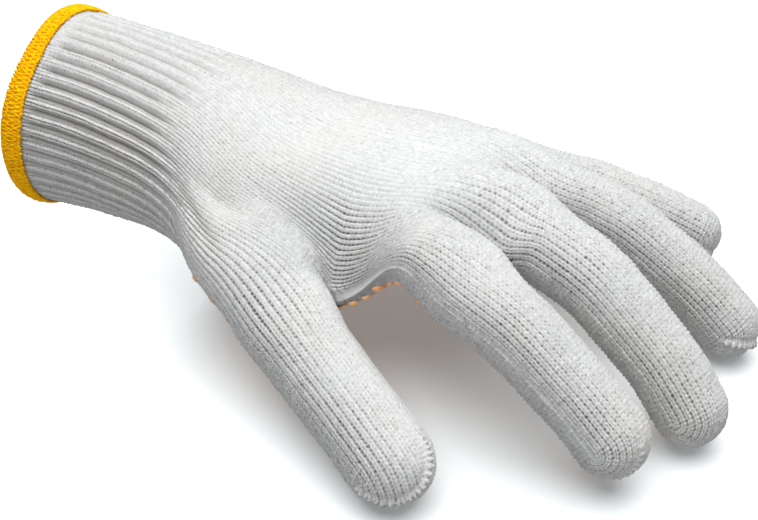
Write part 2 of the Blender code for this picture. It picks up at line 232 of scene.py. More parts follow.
def cloudy(a, b, seed):
    """Smooth noise from -1 to 1 over two coordinates."""
    i, j = np.floor(a), np.floor(b)
    s, t = ease(a - i), ease(b - j)
    low = scatter(i, j, seed) * (1 - s) + scatter(i + 1, j, seed) * s
    high = scatter(i, j + 1, seed) * (1 - s) + scatter(i + 1, j + 1, seed) * s
    return 2 * (low * (1 - t) + high * t) - 1


# form of the hand
def arm_line():
    table = np.array(ARM_LINE, float)
    grid = np.arange(-0.05, 1.16, 0.004)
    yaw, drop, roll = (np.radians(curve(table[:, 0], table[:, i], grid)) for i in (1, 2, 3))
    ahead = np.stack([np.cos(drop) * np.cos(yaw), np.cos(drop) * np.sin(yaw), -np.sin(drop)], -1)
    side = unit(np.cross(np.array([0, 0, 1.0]), ahead))
    back = np.cross(ahead, side)
    roll = roll[:, None]
    side, back = side * np.cos(roll) + back * np.sin(roll), back * np.cos(roll) - side * np.sin(roll)
    centre = run_out(grid * PALM_LENGTH, ahead)
    centre -= sampled(grid, centre, 0.0)
    return grid, centre, ahead, side, back


LINE = arm_line()


def hand_frame(station):
    return [sampled(LINE[0], part, station) for part in LINE[1:]]


def finger_spine(name):
    row = FINGERS[name]
    station, across, height = row["knuckle"]
    centre, ahead, side, back = hand_frame(np.array(station))
    knuckle = centre + side * across * PALM_WIDTH + back * height * PALM_DEPTH
    spread, drop, twist = row["aim"]
    ahead, side = turned(ahead, back, spread), turned(side, back, spread)
    ahead, back = turned(ahead, side, drop), turned(back, side, drop)
    side, back = turned(side, ahead, twist), turned(back, ahead, twist)
    length = row["length"]
    grid = np.arange(-0.9 * length, 1.3 * length, 0.01 * length)
    joints = (0.0, row["parts"][0], row["parts"][0] + row["parts"][1])
    phi = sum(np.radians(b) * ease((grid / length - j) / w + 0.5)
              for b, j, w in zip(row["bend"], joints, JOINT_WIDTHS))
    phi = phi[:, None]
    heading = ahead * np.cos(phi) - back * np.sin(phi)
    up = back * np.cos(phi) + ahead * np.sin(phi)
    points = run_out(grid, heading)
    points += knuckle - sampled(grid, points, 0.0)
    return grid, points, heading, np.broadcast_to(side, points.shape), up


SPINES = {name: finger_spine(name) for name in NAMES}


def finger_frame(i, station):
    row = FINGERS[NAMES[i]]
    s = (np.asarray(station, float) - row["knuckle"][0]) * PALM_LENGTH
    spine = SPINES[NAMES[i]]
    centre, ahead, side, back = (sampled(spine[0], part, s) for part in spine[1:])
    joints = np.array([0, row["parts"][0], row["parts"][0] + row["parts"][1]]) * row["length"]
    a = curve(joints, row["half"], s) * FINGER_WIDTH
    return centre, ahead, side, back, a, a * row["flat"]


def tip_of(i):
    """Station of the centre of finger i's domed tip."""
    row = FINGERS[NAMES[i]]
    return row["knuckle"][0] + (row["length"] - row["half"][2] * FINGER_WIDTH) / PALM_LENGTH


def oval(table, share, station, inset, fold=0.0):
    """Back, front and middle points of a palm section: share 0 to 1 from the thumb's side."""
    t = np.array(table, float)
    side0, height, half, deep, square = (curve(t[:, 0], t[:, k], station) for k in range(1, 6))
    centre, _, side, back = hand_frame(station)
    c, s, p = np.cos(np.pi * share), np.sin(np.pi * share), 2 / square
    across = side0 * PALM_WIDTH - (half * PALM_WIDTH - inset) * np.sign(c) * np.abs(c) ** p
    rise = np.sqrt(((deep * PALM_DEPTH - inset) * np.abs(s) ** p) ** 2 + fold ** 2)[..., None]
    mid = centre + side * across[..., None] + back * (height * PALM_DEPTH)[..., None]
    return mid + back * rise, mid - back * rise, mid


def held(station, fork, reach):
    """1 before a fork, easing to 0 over its reach."""
    return 1 - ease((station - fork) / reach)


def finger_fork(i, station):
    """Where finger i meets its neighbour on the little finger's side."""
    cl, _, sl, _, al, _ = finger_frame(i, station)
    cr, _, sr, _, ar, _ = finger_frame(i + 1, station)
    return (cl + sl * al[..., None] + cr - sr * ar[..., None]) / 2


def thumb_fork(station):
    centre, _, side, _, a, _ = finger_frame(0, station)
    edge = oval(FOUR_FINGER_OVALS, np.zeros_like(station), station, 0.0)[2]
    return 0.8 * (centre + side * a[..., None]) + 0.2 * edge


def finger_ring(i, share, station, inset, cap=0.0):
    """Back and front points of finger i. cap is the angle over its tip's dome."""
    centre, ahead, side, back, a, b = finger_frame(i, station)
    low, high = centre - side * a[..., None], centre + side * a[..., None]
    fold_low = fold_high = 0.0
    if i == 0:
        at = np.minimum(station, THUMB_FORK)
        c, _, s, _, w, _ = finger_frame(0, at)
        fold_high = WEB * held(station, THUMB_FORK, FORK_REACH)
        high = high + (thumb_fork(at) - c - s * w[..., None]) * (fold_high / WEB)[..., None]
    if i > 1:
        at = np.minimum(station, FORKS[i - 2])
        c, _, s, _, w, _ = finger_frame(i, at)
        fold_low = WEB * held(station, FORKS[i - 2], FORK_REACH)
        low = low + (finger_fork(i - 1, at) - c + s * w[..., None]) * (fold_low / WEB)[..., None]
    if 0 < i < 4:
        at = np.minimum(station, FORKS[i - 1])
        c, _, s, _, w, _ = finger_frame(i, at)
        fold_high = WEB * held(station, FORKS[i - 1], FORK_REACH)
        high = high + (finger_fork(i, at) - c - s * w[..., None]) * (fold_high / WEB)[..., None]
    along = unit(high - low)
    low, high = low + along * inset, high - along * inset
    mid, reach = (low + high) / 2, (high - low) / 2
    crown = np.sum((centre - mid) * back, -1)
    c, s = np.cos(np.pi * share), np.sin(np.pi * share)
    base = mid - reach * c[..., None] + back * (crown * s * s)[..., None]
    fold = fold_low * (1 - share) ** 2 + fold_high * share ** 2
    rise = np.sqrt(((b - inset) * s) ** 2 + fold ** 2) * np.cos(cap)
    forward = (a - inset) * s * np.sin(cap)
    return [base + ahead * forward[..., None] + back * (sign * rise)[..., None] for sign in (1, -1)]


def fork_station(i, share):
    if i == 0:
        return np.full_like(share, THUMB_FORK)
    low, high = FORKS[max(i - 2, 0)], FORKS[min(i - 1, 2)]
    return low + (high - low) * share


def formed(i, share, station, inset):
    """Back and front points over finger i before the web of the thumb is stretched."""
    wrap_b, wrap_f, _ = oval(FIVE_FINGER_OVALS, over_sheet(i, share), station, inset)
    tube_b, tube_f = finger_ring(i, share, station, inset)
    if i > 0:
        four = (sum(WALES[1:i]) + share * WALES[i]) / sum(WALES[1:])
        hold = held(station, THUMB_FORK, THUMB_REACH)
        at = np.minimum(station, THUMB_FORK)
        pull = thumb_fork(at) - oval(FOUR_FINGER_OVALS, np.zeros_like(station), at, 0.0)[2]
        pull = pull * (hold * (1 - ease(four / 0.42)))[..., None]
        palm_b, palm_f, _ = oval(FOUR_FINGER_OVALS, four, station, inset, WEB * hold * (1 - ease(four / 0.2)))
        w = ease(1 - (fork_station(i, share) - station) / SPLAY)[..., None]
        tube_b = (palm_b + pull) * (1 - w) + tube_b * w
        tube_f = (palm_f + pull) * (1 - w) + tube_f * w
    start = CUFF_LENGTH / PALM_LENGTH
    w = ease((station - start) / (THUMB_FORK - start))[..., None]
    return wrap_b * (1 - w) + tube_b * w, wrap_f * (1 - w) + tube_f * w


def skin(i, share, station, inset=0.0):
    """Back and front points of the glove over finger i, anywhere from the cuff to the tip's dome."""
    back, front = formed(i, share, station, inset)
    if i > 1:
        return back, front
    # the thumb's web is stretched flat from the middle of the thumb to the middle of the index finger's strip
    at = along_hand(station)
    taut = ease((at - 74) / 12) * (1 - ease((at - 100) / 10.5))
    here, there, step = 0.50, 0.60, 0.03
    span = (1 - here) * WALES[0] + there * WALES[1]
    run = ((share - here) * WALES[0] if i == 0 else (1 - here) * WALES[0] + share * WALES[1]) / span
    ends = [formed(k, np.full_like(share, s), station, inset)[0]
            for k, s in ((0, here), (0, here - step), (1, there), (1, there + step))]
    leave = (ends[0] - ends[1]) / (step * WALES[0]) * span
    arrive = (ends[3] - ends[2]) / (step * WALES[1]) * span
    r = np.clip(run, 0.0, 1.0)[..., None]
    bridge = ((1 + 2 * r) * (1 - r) ** 2 * ends[0] + r * (1 - r) ** 2 * leave
              + r * r * (3 - 2 * r) * ends[2] - r * r * (1 - r) * arrive)
    w = (taut * (run > 0) * (run < 1))[..., None]
    return back * (1 - w) + bridge * w, front


def edge_lean(share, station, sign):
    """The cuff's edge leans forward over the back of the wrist, and draws in a little beside the thumb."""
    drawn_in = EDGE_DRAW_IN * (sign > 0) * bell(share - 0.33, 0.16)
    lean = sign * EDGE_SLANT * np.sin(np.pi * share) + drawn_in
    return lean / PALM_LENGTH * np.clip(1 - station * PALM_LENGTH / CUFF_LENGTH, 0, None)


def cuff_point(turn, station, out):
    """Point on the cuff: turn 0 to 1 round it from the thumb side over the back."""
    share = 1 - np.abs(1 - 2 * np.mod(turn, 1.0))
    sign = np.where(np.mod(turn, 1.0) < 0.5, 1.0, -1.0)
    station = station + edge_lean(share, station, sign)
    b, f, _ = oval(FIVE_FINGER_OVALS, share, station, -out)
    return np.where(sign[..., None] > 0, b, f)


# relief of the knit
def stitch_relief(u, v, spread, parted):
    """Height in metres of a stocking stitch: each wale is a chain of V-shaped loops, whose two legs part
    where the knit is stretched wide, with holes between two wales."""
    wale, course = np.floor(u), np.floor(v)
    p = v - course
    x = u - wale - 0.5 + 0.08 * (scatter(wale, course, 3) - 0.5) + 0.05 * np.sin(2 * np.pi * (p + 0.3))
    across = np.abs(x)
    rope = 1 - np.minimum(across / 0.5, 1.0) ** 2.4
    leg = bell(across - (0.28 - 0.10 * p), 0.14)
    bead = 0.5 + 0.5 * np.cos(2 * np.pi * (p - 0.45))
    size = 0.65 + 0.7 * scatter(wale, course, 1)
    gap = ease((across - 0.31) / 0.14)
    hole = 0.5 + 0.5 * np.cos(2 * np.pi * (p - 0.98))
    return (ROPE * rope + (LEG + LEG_PARTED * parted) * leg * (0.25 + 0.75 * bead) * size
            - SPLIT * parted * bell(across, 0.10) - gap * (GAP + HOLE * hole * spread))


def rib_groove(u, station, share, front):
    """Wales from the nearest groove of the cuff's elastic ribs, and the groove's strength, 0 to 1.
    The ribs die out into the palm, later at the thumb's side."""
    half = RIB_WALES / 2
    d = np.mod(u + half, RIB_WALES) - half
    rib = np.mod(np.floor((u + half) / RIB_WALES), sum(WALES) // 2)
    end = 0.0570 + 0.014 * (1 - ease(share / 0.30)) + 0.004 * front + 0.006 * (scatter(rib, 7, 0) - 0.5)
    fade = 1 - ease((station * PALM_LENGTH - end + 0.013) / 0.016)
    tuck = ease((station * PALM_LENGTH - EDGING_WIDTH + 0.0015) / 0.005)
    return d, fade * tuck * (0.85 + 0.3 * scatter(rib, 3, 0))


def rib_relief(d, strength):
    swell = np.cos(2 * np.pi * d / RIB_WALES + np.pi)
    return strength * (RIB_SWELL * swell - RIB_GROOVE * bell(d, 0.80))


def creases(i, share, station, front):
    """Folds: the hollow that runs on from the ribs beside the thumb's root, and the strain at its fork."""
    at = along_hand(station)
    depth = np.zeros_like(at)
    if front:
        return depth
    if i == 0:
        line = np.interp(at, (60, 67, 76, 90), (0.74, 0.64, 0.50, 0.34))
        depth = depth - ROOT_HOLLOW * bell(share - line, 0.11) * bell(at - 77, 9.5)
        depth = depth + ROOT_SWELL * bell(share - line - 0.26, 0.12) * bell(at - 74, 10)
    if i == 1:
        depth = depth - FORK_STRAIN * (bell(at - 119, 11) * bell(share - 0.5, 0.45))
        knot = bell(at - 112.5, 2.6) * bell(share - 0.04, 0.10)
        depth = depth + FORK_KNOT * knot * (0.6 + 0.4 * np.sin(at * 3.1 + share * 40))
    return depth


def looseness_and_hole_shade(i, share, station, front):
    """How far the stitches are pulled open, 0.1 to 1.6: most on the thumb's side of each finger and over the
    web of the thumb, least over the back of the hand. It deepens the holes of the relief and sets how dark
    the painted hole shade is; its amounts follow partly the knit's stretch and partly where the light falls."""
    at = along_hand(station)
    loose = 0.62 + 0.22 * cloudy(at / 9, share * 2 + i * 2.1 + 7 * front, 5)
    on_finger = ease((at - (88 if i == 0 else 122)) / 22)
    on_palm = ease((at - 55) / 14) * (1 - on_finger)
    on_cuff = 1 - ease((at - 50) / 14)
    # these factors also place painted shade: heavier holes on the shaded thumb's side of the fingers and of
    # the cuff's back, lighter ones on the lit ring and little fingers and the little finger's side of the
    # cuff's back
    side = 1.45 - 1.05 * ease((share - 0.22) / 0.55)
    palm = (1.0, 1.0, 0.62, 0.42, 0.40)[i]
    cuff = 0.5 if front else (0.7, 0.3, -0.2, -0.4, -0.5)[i]
    loose = loose * (1 + on_finger * (side - 1)) * (1 + on_palm * (palm - 1)) * (1 + on_cuff * cuff)
    if i == 1 and not front:
        loose = loose + bell(at - 116, 10) * bell(share - 0.5, 0.5)
    if i == 1:
        loose = loose * np.where(at < 106, 1.0, ease((share - 0.03) / 0.10))
    if i == 0:
        loose = loose + 0.30 * bell(at - 112, 12) * (1 - ease((share - 0.5) / 0.4))
    return np.clip(loose, 0.10, 1.6)


def legs_parted(i, station):
    """0.25 in the cuff and the palm, where a wale is one thin rope, to 1 on the fingers, stretched wide."""
    start = THUMB_FORK - 0.14 if i == 0 else 0.80
    return 0.25 + 0.75 * ease((station - start) / 0.20)


def tip_seam(i, points):
    """Ridge of gathered stitches where a fingertip is drawn shut: its height in metres, where it lies and
    where its folds dip, both 0 to 1."""
    centre, ahead, side, back, a, _ = finger_frame(i, np.array(tip_of(i)))
    across, up, out, place = FINGERS[NAMES[i]]["seam"]
    flat_way = unit(side * across + back * up + ahead * out)
    one = unit(ahead - flat_way * (ahead @ flat_way))
    two = np.cross(flat_way, one)
    w = points - centre
    off = w @ flat_way - place * a
    turn = np.arctan2(w @ two, w @ one)
    arc = turn * float(a) * 1000
    ahead_of = w @ ahead / a
    ends = ease((SEAM_REACH[i] - np.abs(turn)) / 0.5)
    lies = bell(off, 0.00095) * ease((ahead_of + 0.55) / 0.35) * ends
    fold = 0.5 + 0.5 * np.cos(2 * np.pi * arc / 1.75 + 1.5 * np.sin(arc / 2.3 + i))
    beside = bell(np.abs(off) - 0.0017, 0.0007) * ease((ahead_of + 0.45) / 0.35) * ends
    height = lies * (SEAM_LINE + SEAM_FOLD * fold) - SEAM_BESIDE * beside * (0.4 + 0.6 * fold)
    return SEAM_HEIGHT[i] * height, lies, lies * (1 - fold)


def knit_relief(i, front, share, wale, rows, v, loose, parted, capped, seam, ribbed):
    """Height of all the relief in metres, how loose the yarn lies there, and how much painted shade its
    hollows get (deep).
    """
    seam_height, ridge, teeth = seam
    d, strength = rib_groove(wale, rows, over_sheet(i, share), front)
    strength = strength * ribbed
    sunk = bell(d, 0.95) * strength
    flank = np.clip(strength, 0, 1) * bell(np.abs(d) - 1.0, 0.35)
    loose = loose * (1 - 0.35 * np.clip(sunk, 0, 1)) * (1 - 0.45 * flank)
    loose = loose * (1 - 0.7 * ridge)
    # the stitches lie flatter in the grooves, at the seam, on the dome and on the far side
    far = ease((share - 0.55) / 0.35) * ease((parted - 0.3) / 0.5)
    stitch = stitch_relief(wale, v, loose, parted) * (1 - 0.2 * np.clip(sunk, 0, 1))
    stitch = stitch * (1 - 0.6 * ridge) * (1 - 0.45 * capped) * (1 - 0.5 * far)
    if i == 1:
        stitch = stitch * (1 - bell(along_hand(rows) - 119, 12) * (1 - ease(share / 0.05)))
    fold = creases(i, share, rows, front)
    uneven = UNEVEN * cloudy(rows * PALM_LENGTH / 0.006, wale / 4.5, 8)
    lift = stitch + rib_relief(d, strength) + fold + uneven + seam_height
    # deep is painted shade, not relief: the colour greys the rib grooves, the creases and the dips of the
    # seam's folds
    deep = np.clip(0.85 * sunk + 0.35 * np.clip(-fold / 0.0018, 0, 1) + 0.7 * teeth, 0, 1)
    return lift, loose, deep


# mesh building
def mesh_from(name, points, faces, material, uv=None, marks=None):
    """Object from arrays: points (n, 3), quads or triangles (m, k), uv for each face corner."""
    mesh = bpy.data.meshes.new(name)
    sides = faces.shape[1]
    mesh.vertices.add(len(points))
    mesh.vertices.foreach_set("co", np.ascontiguousarray(points, dtype=np.float32).ravel())
    mesh.loops.add(faces.size)
    mesh.loops.foreach_set("vertex_index", faces.astype(np.int32).ravel())
    mesh.polygons.add(len(faces))
    mesh.polygons.foreach_set("loop_start", np.arange(0, faces.size, sides, dtype=np.int32))
    mesh.polygons.foreach_set("use_smooth", np.ones(len(faces), dtype=bool))
    if uv is not None:
        layer = mesh.uv_layers.new(name="stitch")
        layer.uv.foreach_set("vector", np.ascontiguousarray(uv, dtype=np.float32).ravel())
    for key, values in (marks or {}).items():
        layer = mesh.attributes.new(key, "FLOAT", "POINT")
        layer.data.foreach_set("value", np.ascontiguousarray(values, dtype=np.float32).ravel())
    mesh.update(calc_edges=True)
    mesh.validate()
    piece = bpy.data.objects.new(name, mesh)
    bpy.context.scene.collection.objects.link(piece)
    mesh.materials.append(material)
    return piece


def wrapped_quads(rows, columns, inward=False):
    """Quads of a grid that closes round its columns, with the columns counted on past the join."""
    r, c = np.meshgrid(np.arange(rows - 1), np.arange(columns), indexing="ij")
    a, b = r * columns + c, r * columns + (c + 1) % columns
    quads = np.stack([a, a + columns, b + columns, b], -1).reshape(-1, 4)
    return quads[:, ::-1] if inward else quads


def knit_piece(name, fingers, stations, material, dome=False, inset=0.0, across=ACROSS_WALE, relief=True):
    """A closed tube of knit over the given fingers. stations(i, share) gives its rows. The first row, and the
    last of a piece with no dome, only serve the slopes. Wales are counted round the glove: pieces match."""
    blocks = []
    for front in (0, 1):
        for i in (fingers[::-1] if front else fingers):
            u = (np.arange(WALES[i])[:, None] + np.array(across)[None, :]).ravel()
            share = u / WALES[i]
            rows = stations(i, share)
            share = np.broadcast_to(share, rows.shape)
            points = skin(i, share, rows + edge_lean(over_sheet(i, share), rows, 1 - 2 * front), inset)[front]
            v = rows * PALM_LENGTH / COURSE
            capped = np.zeros_like(v)
            if dome:
                tip = tip_of(i)
                steps = np.linspace(0, 1, DOME_STEPS if relief else INSIDE_DOME_STEPS)[1:][:, None]
                share2 = np.broadcast_to(share[0], (len(steps), share.shape[1]))
                angle = steps * np.radians(90 + (6, -6)[front])
                cap = finger_ring(i, share2, np.full(share2.shape, tip), inset, cap=angle)[front]
                points = np.concatenate([points, cap])
                run = FINGERS[NAMES[i]]["half"][2] * FINGER_WIDTH * np.sin(np.pi * share2)
                v = np.concatenate([v, (tip * PALM_LENGTH + run * angle) / COURSE])
                rows = np.concatenate([rows, np.full(share2.shape, tip)])
                capped = np.concatenate([capped, ease(steps / 0.8) + 0 * share2])
            share = np.broadcast_to(share[0], rows.shape)
            wale = over_sheet(i, share) * sum(WALES)
            wale = 2 * sum(WALES) - wale if front else wale
            loose = looseness_and_hole_shade(i, share, rows, front)
            parted = legs_parted(i, rows)
            lift, deep = np.zeros_like(rows), np.zeros_like(rows)
            if relief:
                seam = tip_seam(i, points) if dome else (0.0, 0.0, 0.0)
                ribbed = len(fingers) == 5
                lift, loose, deep = knit_relief(
                    i, front, share, wale, rows, v, loose, parted, capped, seam, ribbed)
            layers = (points, wale, v, loose, lift, deep, parted)
            blocks.append([np.ascontiguousarray(layer[:, ::-1]) if front else layer for layer in layers])
    points, u, v, loose, lift, deep, parted = (np.concatenate(part, axis=1) for part in zip(*blocks))
    along = np.empty_like(points)
    along[1:-1] = points[2:] - points[:-2]
    along[0], along[-1] = along[1], along[-2]
    around = np.roll(points, -1, axis=1) - np.roll(points, 1, axis=1)
    normal = unit(np.cross(along, around))
    if dome:
        near = min(12, len(steps) - 2)
        fix = ease(np.linspace(0, 1, near))[:, None, None]
        normal[-near:] = unit(normal[-near:] * (1 - fix) + normal[-near:-near + 1] * fix)
    if relief:
        # the wales wander a little from side to side
        wale = np.floor(u)
        shift = 0.00009 * cloudy(v / 5.0, wale * 3.7, 6) + 0.00005 * cloudy(v / 1.6, wale * 5.3, 2)
        points = points + normal * (lift - SUNK_BY)[..., None] + unit(around) * shift[..., None]
    rows = slice(1, None) if dome else slice(1, -1)
    points, u, v, loose, deep, parted = (layer[rows] for layer in (points, u, v, loose, deep, parted))
    quads = wrapped_quads(*u.shape, inward=inset > 0)
    next_u = np.roll(u, -1, axis=1)
    next_u = np.where(np.abs(next_u - u) > 1.5 + (relief is False), u + 0.08, next_u)
    corner_u = np.stack([u[:-1], u[1:], next_u[1:], next_u[:-1]], -1).reshape(-1, 4)
    corner_v = v.ravel()[quads]
    if inset > 0:
        corner_u = corner_u[:, ::-1]
    uv = np.stack([corner_u, corner_v], -1)
    # loose and deep also set the painted shade of the holes and of the grooves in the material
    marks = {"loose": loose, "deep": deep, "parted": parted}
    return mesh_from(name, points.reshape(-1, 3), quads, material, uv, marks)


def tubes(name, paths, radius, material, sides=6, closed=False):
    """Round yarns along paths: array (yarns, points, 3). radius may be an array (yarns, points)."""
    k, n, _ = paths.shape
    if closed:
        along = np.roll(paths, -1, axis=1) - np.roll(paths, 1, axis=1)
    else:
        along = np.gradient(paths, axis=1)
    along = unit(along)
    guide = np.broadcast_to(np.array([0.31, 0.22, 0.92]), along.shape)
    one = unit(np.cross(along, guide))
    two = np.cross(along, one)
    turn = 2 * np.pi * np.arange(sides) / sides
    radius = np.broadcast_to(np.asarray(radius, float), (k, n))[..., None, None]
    round_it = one[:, :, None, :] * np.cos(turn)[:, None] + two[:, :, None, :] * np.sin(turn)[:, None]
    ring = paths[:, :, None, :] + radius * round_it
    steps = n if closed else n - 1
    y, r, s = np.meshgrid(np.arange(k), np.arange(steps), np.arange(sides), indexing="ij")

    def at(r_, s_):
        return y * n * sides + (r_ % n) * sides + s_ % sides

    quads = np.stack([at(r, s), at(r, s + 1), at(r + 1, s + 1), at(r + 1, s)], -1).reshape(-1, 4)
    v = np.broadcast_to(np.arange(n)[None, :, None], (k, n, sides)).ravel()
    w = np.broadcast_to(np.arange(sides)[None, None, :] / sides, (k, n, sides)).ravel()
    uv = np.stack([w[quads], v[quads]], -1)
    return mesh_from(name, ring.reshape(-1, 3), quads, material, uv)


# materials
def srgb(code):
    """Hex colour to linear light."""
    parts = [int(code[k:k + 2], 16) / 255 for k in (1, 3, 5)]
    return [p / 12.92 if p <= 0.04045 else ((p + 0.055) / 1.055) ** 2.4 for p in parts] + [1.0]


def add(tree, kind, inputs=None, **settings):
    """Adds a node with its settings; an input is a value or another node's output."""
    node = tree.nodes.new(kind)
    for key, value in settings.items():
        setattr(node, key, value)
    for key, value in (inputs or {}).items():
        if isinstance(value, bpy.types.NodeSocket):
            tree.links.new(value, node.inputs[key])
        else:
            node.inputs[key].default_value = value
    return node


def blank(name):
    """A new material with its shader joined to its output."""
    material = bpy.data.materials.new(name)
    material.use_nodes = True
    tree = material.node_tree
    tree.nodes.clear()
    shader = add(tree, "ShaderNodeBsdfPrincipled")
    add(tree, "ShaderNodeOutputMaterial", {"Surface": shader.outputs["BSDF"]})
    return material, tree, shader


# pattern sizes, as repeats in a metre
YARN_WANDER = 900      # 1.1 mm, a little less than a wale
SLUB = 620             # 1.6 mm, thick and thin places in the yarn
BLEACH_CLOUD = 34      # 30 mm
FIBRE = 1700           # 0.6 mm: the fuzz is finer, and is drawn as coarse as it needs to show
CRIMP = 900            # 1.1 mm, bulked filaments
DYE_PATCH = 160        # 6 mm
DOT_MOTTLE = 420       # 2.4 mm
# painted shade for the rib grooves and creases
GROOVE_SHADE_GREY = "#98928B"


def cotton_knit(name, white, hole, fuzz):
    """Bleached carded cotton, ring spun and knitted on a coarse flat machine.

    The yarn scatters light softly, so it has no gloss. Between the wales the
    knit opens into small holes, one for each course, and a thin line of smaller
    ones lies between the two legs of a stretched wale. Their dark colour is
    painted shade, for the shadowed inside seen through them, and the rib
    grooves and creases get painted shade too.
    """
    material, tree, shader = blank(name)

    stitch = add(tree, "ShaderNodeUVMap", uv_map="stitch").outputs["UV"]
    place = add(tree, "ShaderNodeTexCoord").outputs["Object"]
    # the yarn wanders by a part of a stitch, so no hole has a ruled edge
    wander = add(tree, "ShaderNodeTexNoise", {"Vector": place, "Scale": YARN_WANDER, "Detail": 2.0})
    astray = add(tree, "ShaderNodeVectorMath", {0: wander.outputs["Color"], 1: (0.5, 0.5, 0.5)},
                 operation="SUBTRACT").outputs[0]
    astray = add(tree, "ShaderNodeVectorMath", {0: astray, "Scale": 0.45}, operation="SCALE").outputs[0]
    stitch = add(tree, "ShaderNodeVectorMath", {0: stitch, 1: astray}, operation="ADD").outputs[0]
    uv = add(tree, "ShaderNodeSeparateXYZ", {0: stitch})

    # across a wale: the groove beside it and the split between its legs
    wale = add(tree, "ShaderNodeMath", {0: uv.outputs["X"]}, operation="FRACT").outputs[0]
    aside = add(tree, "ShaderNodeMath", {0: wale, 1: 0.5}, operation="SUBTRACT").outputs[0]
    aside = add(tree, "ShaderNodeMath", {0: aside}, operation="ABSOLUTE").outputs[0]
    groove = add(tree, "ShaderNodeMapRange", {"Value": aside, "From Min": 0.25, "From Max": 0.46},
                 interpolation_type="SMOOTHSTEP").outputs[0]
    split = add(tree, "ShaderNodeMapRange", {"Value": aside, "From Min": 0.13, "From Max": 0.02},
                interpolation_type="SMOOTHSTEP").outputs[0]

    # along it: one beat for each course, the split's between two of the groove's
    row = add(tree, "ShaderNodeMath", {0: uv.outputs["Y"], 1: 2 * math.pi}, operation="MULTIPLY").outputs[0]
    beat = add(tree, "ShaderNodeMath", {0: row}, operation="COSINE").outputs[0]
    dot = add(tree, "ShaderNodeMapRange", {"Value": beat, "From Min": -0.5, "From Max": 0.8, "To Min": 0.34},
              interpolation_type="SMOOTHSTEP").outputs[0]
    off_beat = add(tree, "ShaderNodeMapRange",
                   {"Value": beat, "From Min": 0.6, "From Max": -0.8, "To Min": 0.30, "To Max": 0.75},
                   interpolation_type="SMOOTHSTEP").outputs[0]

    # no two stitches are pulled the same: one random number for each
    half_way = add(tree, "ShaderNodeVectorMath", {0: stitch, 1: (0.5, 0.5, 0.0)}, operation="ADD").outputs[0]
    one_stitch = add(tree, "ShaderNodeVectorMath", {0: half_way}, operation="FLOOR").outputs[0]
    chance = add(tree, "ShaderNodeTexWhiteNoise", {"Vector": one_stitch}, noise_dimensions="2D")
    pulled = add(tree, "ShaderNodeMapRange",
                 {"Value": chance.outputs["Value"], "To Min": 0.55, "To Max": 1.15}).outputs[0]

    loose, parted, deep = (add(tree, "ShaderNodeAttribute", attribute_name=mark).outputs["Fac"]
                           for mark in ("loose", "parted", "deep"))
    # painted shade: the holes and the split between the legs are darkened towards the hole colour; how far
    # they open follows the loose mark
    holes, splits = groove, split
    for factor in (dot, pulled, loose):
        holes = add(tree, "ShaderNodeMath", {0: holes, 1: factor}, operation="MULTIPLY").outputs[0]
    for factor in (off_beat, parted, 0.75, pulled):
        splits = add(tree, "ShaderNodeMath", {0: splits, 1: factor}, operation="MULTIPLY").outputs[0]
    holes = add(tree, "ShaderNodeMath", {0: holes, 1: splits}, operation="ADD", use_clamp=True).outputs[0]

    slub = add(tree, "ShaderNodeTexNoise", {"Vector": place, "Scale": SLUB, "Detail": 4.0, "Roughness": 0.7})
    slub = add(tree, "ShaderNodeMapRange",
               {"Value": slub.outputs["Fac"], "From Min": 0.34, "From Max": 0.66}).outputs[0]
    cloud = add(tree, "ShaderNodeTexNoise", {"Vector": place, "Scale": BLEACH_CLOUD, "Detail": 2.0})
    tint = add(tree, "ShaderNodeMapRange",
               {"Value": cloud.outputs["Fac"], "From Min": 0.45, "From Max": 0.75, "To Max": 0.5}).outputs[0]
    # painted shade: greys the rib grooves, the creases and the dips of the seam's folds (the deep mark), for
    # the shade that falls in them
    sunk = add(tree, "ShaderNodeMath", {0: deep, 1: 0.72}, operation="MULTIPLY").outputs[0]
    colour = srgb(white[0])
    for factor, code in ((slub, white[1]), (tint, white[2]), (sunk, GROOVE_SHADE_GREY), (holes, hole)):
        colour = add(tree, "ShaderNodeMix", {"Factor": factor, "A": colour, "B": srgb(code)},
                     data_type="RGBA").outputs["Result"]
    tree.links.new(colour, shader.inputs["Base Color"])

    fibre = add(tree, "ShaderNodeTexNoise",
                {"Vector": place, "Scale": FIBRE, "Detail": 4.0, "Roughness": 0.7})
    bump = add(tree, "ShaderNodeBump", {"Height": fibre.outputs["Fac"], "Strength": fuzz, "Distance": 0.0006})
    tree.links.new(bump.outputs["Normal"], shader.inputs["Normal"])
    shader.inputs["Roughness"].default_value = 0.95
    shader.inputs["Specular IOR Level"].default_value = 0.1
    shader.inputs["Sheen Weight"].default_value = 0.2
    shader.inputs["Sheen Roughness"].default_value = 0.6
    return material


